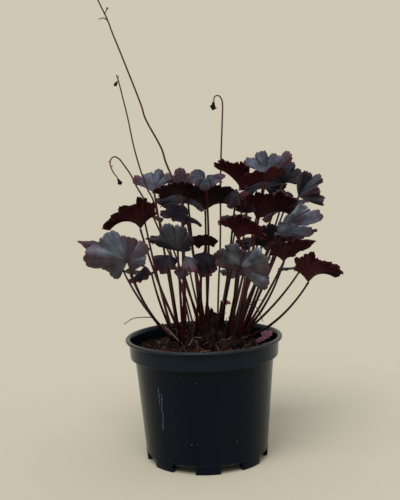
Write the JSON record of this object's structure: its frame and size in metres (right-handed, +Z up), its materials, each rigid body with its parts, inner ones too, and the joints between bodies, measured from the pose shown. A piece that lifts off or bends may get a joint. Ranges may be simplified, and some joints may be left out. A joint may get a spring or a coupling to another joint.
{
  "type": "potted coral bells",
  "caption": "Coral bells plant with dark, ruffled, lobed leaves on long petioles and thin flower stalks, growing in a round plastic nursery pot filled with soil.",
  "frame": {"origin": "on the ground at the middle of the pot, which is also the middle of the plant's spread", "axes": "+Z up along the flower stalks, -Y to the front, +X to the right as seen from the front"},
  "size_m": [0.2398, 0.179, 0.4375],
  "materials": {
    "pot": "satin",
    "soil": "matte",
    "stem": "satin",
    "flower_stalk": "satin",
    "blade": "satin",
    "pink_blade": "satin"
  },
  "bodies": {
    "root": {"pot": "pot", "soil": "soil", "crown_and_petioles": "stem", "flower_stalk_tall": "flower_stalk", "flower_stalk_left": "flower_stalk", "flower_stalk_hooked_left": "flower_stalk", "flower_stalk_hooked_right": "flower_stalk", "leaf_01": "blade", "leaf_02": "blade", "leaf_03": "blade", "leaf_04": "blade", "leaf_05": "blade", "leaf_06": "blade", "leaf_07": "blade", "leaf_08": "blade", "leaf_09": "blade", "leaf_10": "blade", "leaf_11": "blade", "leaf_12": "blade", "leaf_13": "blade", "leaf_14": "blade", "leaf_15": "blade", "leaf_16": "blade", "leaf_17": "blade", "leaf_18": "blade", "leaf_19": "blade", "leaf_20": "blade", "leaf_21": "blade", "leaf_22": "blade", "leaf_23": "blade", "leaf_24": "blade", "leaf_25": "blade", "leaf_26": "blade", "leaf_27": "blade", "leaf_28": "blade", "leaf_29": "blade", "leaf_30": "blade", "leaf_31": "pink_blade", "leaf_32": "blade", "leaf_33": "blade", "leaf_34": "blade", "leaf_35": "blade", "leaf_36": "blade", "leaf_37": "blade", "leaf_38": "blade", "leaf_39": "blade", "leaf_40": "blade", "leaf_41": "blade", "leaf_42": "blade", "leaf_43": "blade"}
  },
  "joints": []
}
